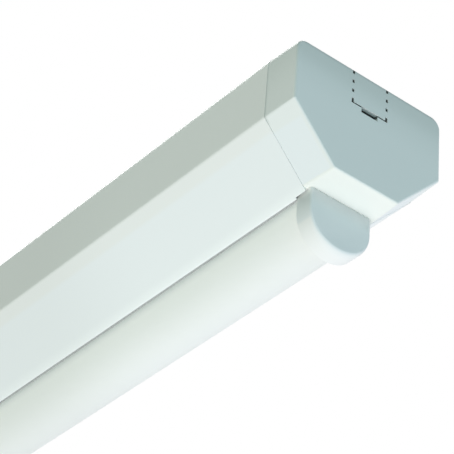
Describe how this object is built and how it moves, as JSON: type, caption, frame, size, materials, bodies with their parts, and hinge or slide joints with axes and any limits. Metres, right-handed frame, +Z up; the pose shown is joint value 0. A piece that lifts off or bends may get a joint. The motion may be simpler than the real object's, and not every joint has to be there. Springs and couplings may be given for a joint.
{
  "type": "linear ceiling light",
  "caption": "Surface-mounted linear ceiling light: folded white steel housing with sloped sides, moulded end caps and a slim opal diffuser on a drop-out LED gear tray.",
  "frame": {"origin": "centre of the ceiling face, midway between the two fixing slots", "axes": "+X along the fitting towards the end seen in the picture, +Y across it, +Z up to the ceiling"},
  "size_m": [0.6, 0.0672, 0.0684],
  "materials": {
    "housing_paint": "white powder coat on folded sheet steel, satin",
    "cap_plastic": "white moulded polycarbonate, fine satin",
    "diffuser_opal": "opal extruded polycarbonate, translucent satin",
    "diffuser_cap_plastic": "white moulded polycarbonate, fine satin",
    "grommet_rubber": "black moulded rubber",
    "tray_paint": "white pre-coated sheet steel",
    "spring_steel": "bright spring steel",
    "rivet_alloy": "bright blind rivets",
    "board_white": "white solder mask on a metal-core board",
    "led_phosphor": "yellow phosphor in a white package",
    "connector_white": "white moulded nylon",
    "screw_zinc": "zinc plated steel",
    "bush_rubber": "black moulded rubber",
    "driver_plate": "galvanised sheet steel",
    "driver_plastic": "white moulded polycarbonate",
    "terminal_grey": "grey moulded nylon",
    "terminal_white": "white moulded polyamide",
    "button_brown": "brown moulded polyamide",
    "button_blue": "blue moulded polyamide",
    "button_green": "green moulded polyamide",
    "lead_brown": "brown PVC insulation",
    "lead_blue": "blue PVC insulation",
    "lead_earth": "green and yellow PVC insulation",
    "lead_red": "red PVC insulation",
    "lead_black": "black PVC insulation",
    "lead_white": "white PVC insulation",
    "lug_tin": "tinned copper"
  },
  "bodies": {
    "housing": {"housing": "housing_paint", "cable_grommet": "grommet_rubber"},
    "end_cap_near": {"end_cap_near": "cap_plastic"},
    "end_cap_far": {"end_cap_far": "cap_plastic"},
    "live_button": {"live_button": "button_brown"},
    "neutral_button": {"neutral_button": "button_blue"},
    "earth_button": {"earth_button": "button_green"},
    "diffuser": {"diffuser": "diffuser_opal"},
    "diffuser_cap_near": {"diffuser_cap_near": "diffuser_cap_plastic"},
    "diffuser_cap_far": {"diffuser_cap_far": "diffuser_cap_plastic"},
    "gear_tray": {"gear_tray": "tray_paint", "spring_clip_near": "spring_steel", "spring_clip_far": "spring_steel", "clip_rivets": "rivet_alloy", "led_board_near": "board_white", "led_board_far": "board_white", "leds_near": "led_phosphor", "leds_far": "led_phosphor", "board_connector_near": "connector_white", "board_connector_far": "connector_white", "board_screws": "screw_zinc", "wire_bush": "bush_rubber", "driver_base": "driver_plate", "driver_case": "driver_plastic", "driver_input_terminal": "terminal_grey", "driver_output_terminal": "terminal_grey", "driver_screws": "screw_zinc", "terminal_block": "terminal_white", "live_wire": "lead_brown", "neutral_wire": "lead_blue", "earth_wire": "lead_earth", "led_wire_positive": "lead_red", "led_wire_negative": "lead_black", "led_wire_link": "lead_white", "earth_lug": "lug_tin", "earth_washer": "screw_zinc", "earth_screw": "screw_zinc"}
  },
  "joints": [
    {"name": "end_cap_near_pull", "type": "slide", "parent": "housing", "child": "end_cap_near", "axis": [1, 0, 0], "range_m": [0, 0.03]},
    {"name": "end_cap_far_pull", "type": "slide", "parent": "housing", "child": "end_cap_far", "axis": [-1, 0, 0], "range_m": [0, 0.03]},
    {"name": "tray_drop", "type": "slide", "parent": "housing", "child": "gear_tray", "axis": [0, 0, -1], "range_m": [0, 0.08]},
    {"name": "diffuser_unclip", "type": "slide", "parent": "gear_tray", "child": "diffuser", "axis": [0, 0, -1], "range_m": [0, 0.03]},
    {"name": "diffuser_cap_near_pull", "type": "slide", "parent": "diffuser", "child": "diffuser_cap_near", "axis": [1, 0, 0], "range_m": [0, 0.015]},
    {"name": "diffuser_cap_far_pull", "type": "slide", "parent": "diffuser", "child": "diffuser_cap_far", "axis": [-1, 0, 0], "range_m": [0, 0.015]},
    {"name": "live_button_press", "type": "slide", "parent": "gear_tray", "child": "live_button", "axis": [0, 0, -1], "range_m": [0, 0.0015], "stiffness_N_per_m": 1500},
    {"name": "neutral_button_press", "type": "slide", "parent": "gear_tray", "child": "neutral_button", "axis": [0, 0, -1], "range_m": [0, 0.0015], "stiffness_N_per_m": 1500},
    {"name": "earth_button_press", "type": "slide", "parent": "gear_tray", "child": "earth_button", "axis": [0, 0, -1], "range_m": [0, 0.0015], "stiffness_N_per_m": 1500}
  ]
}
